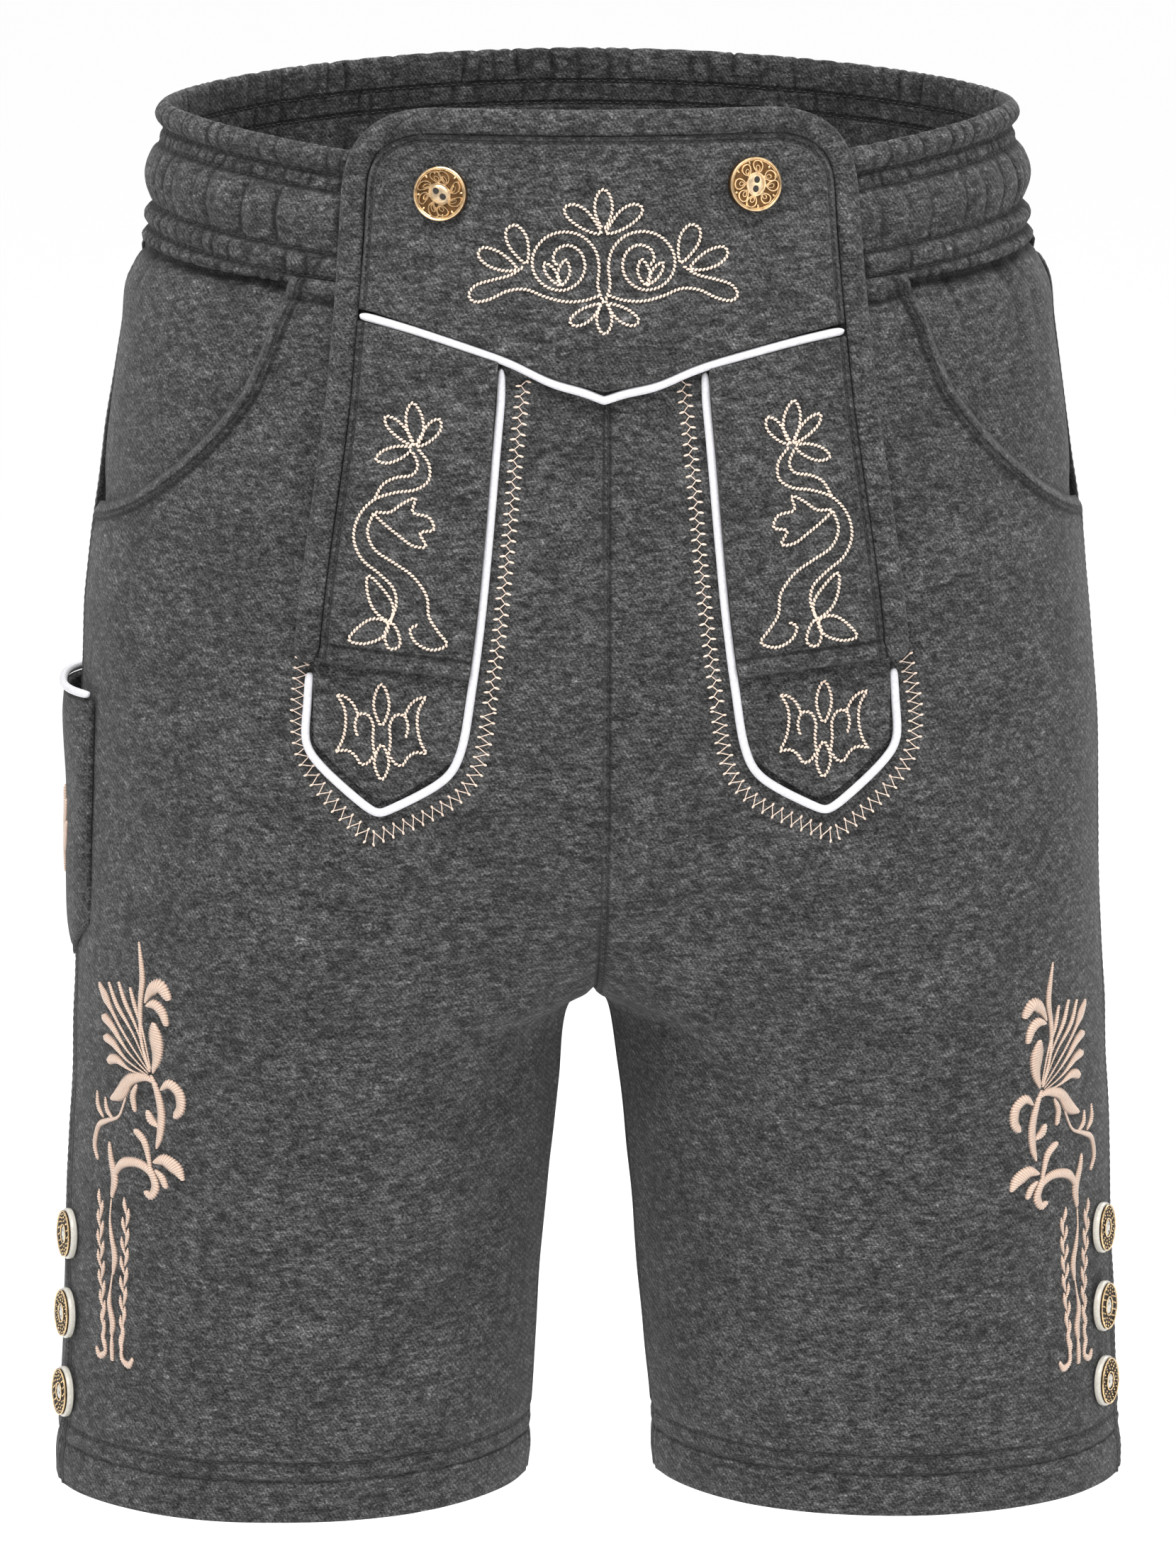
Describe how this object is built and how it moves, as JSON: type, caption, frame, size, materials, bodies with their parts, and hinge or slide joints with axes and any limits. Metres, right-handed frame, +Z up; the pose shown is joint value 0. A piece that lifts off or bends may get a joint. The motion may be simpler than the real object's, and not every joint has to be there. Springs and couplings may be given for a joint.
{
  "type": "lederhosen-style sweat shorts",
  "caption": "Knee-length folk-dress shorts in grey heather sweat cloth, filled out and hollow, with an elastic waistband, a buttoned front flap, white piping and side buttons.",
  "frame": {"origin": "middle of the waist opening, at about mid height of the waistband", "axes": "+Z up along the garment, from hems to waistband; -Y is the front; +X is the wearer's left"},
  "size_m": [0.4127, 0.2792, 0.5365],
  "materials": {
    "sweat_cloth": "brushed heather knit, matte, slightly fuzzy",
    "white_piping": "smooth satin-faced piping",
    "gold": "antique gold filigree with dark hollows",
    "cream": "pearly cream",
    "peach_thread": "rayon embroidery thread, soft sheen"
  },
  "bodies": {
    "root": {"front_panel_left": "sweat_cloth", "front_panel_right": "sweat_cloth", "back_panel_left": "sweat_cloth", "back_panel_right": "sweat_cloth", "pocket_side_left": "sweat_cloth", "pocket_side_right": "sweat_cloth", "waistband": "sweat_cloth", "flap_yoke": "sweat_cloth", "flap_strip_left": "sweat_cloth", "flap_strip_right": "sweat_cloth", "flap_binding": "sweat_cloth", "tongue_left": "sweat_cloth", "tongue_right": "sweat_cloth", "knife_pocket": "sweat_cloth", "piping_v": "white_piping", "piping_left": "white_piping", "piping_right": "white_piping", "knife_pocket_piping": "white_piping", "flap_button_left": "gold", "flap_button_right": "gold", "side_button_left_1_base": "cream", "side_button_left_1_face": "gold", "side_button_left_2_base": "cream", "side_button_left_2_face": "gold", "side_button_left_3_base": "cream", "side_button_left_3_face": "gold", "side_button_right_1_base": "cream", "side_button_right_1_face": "gold", "side_button_right_2_base": "cream", "side_button_right_2_face": "gold", "side_button_right_3_base": "cream", "side_button_right_3_face": "gold"}
  },
  "joints": []
}
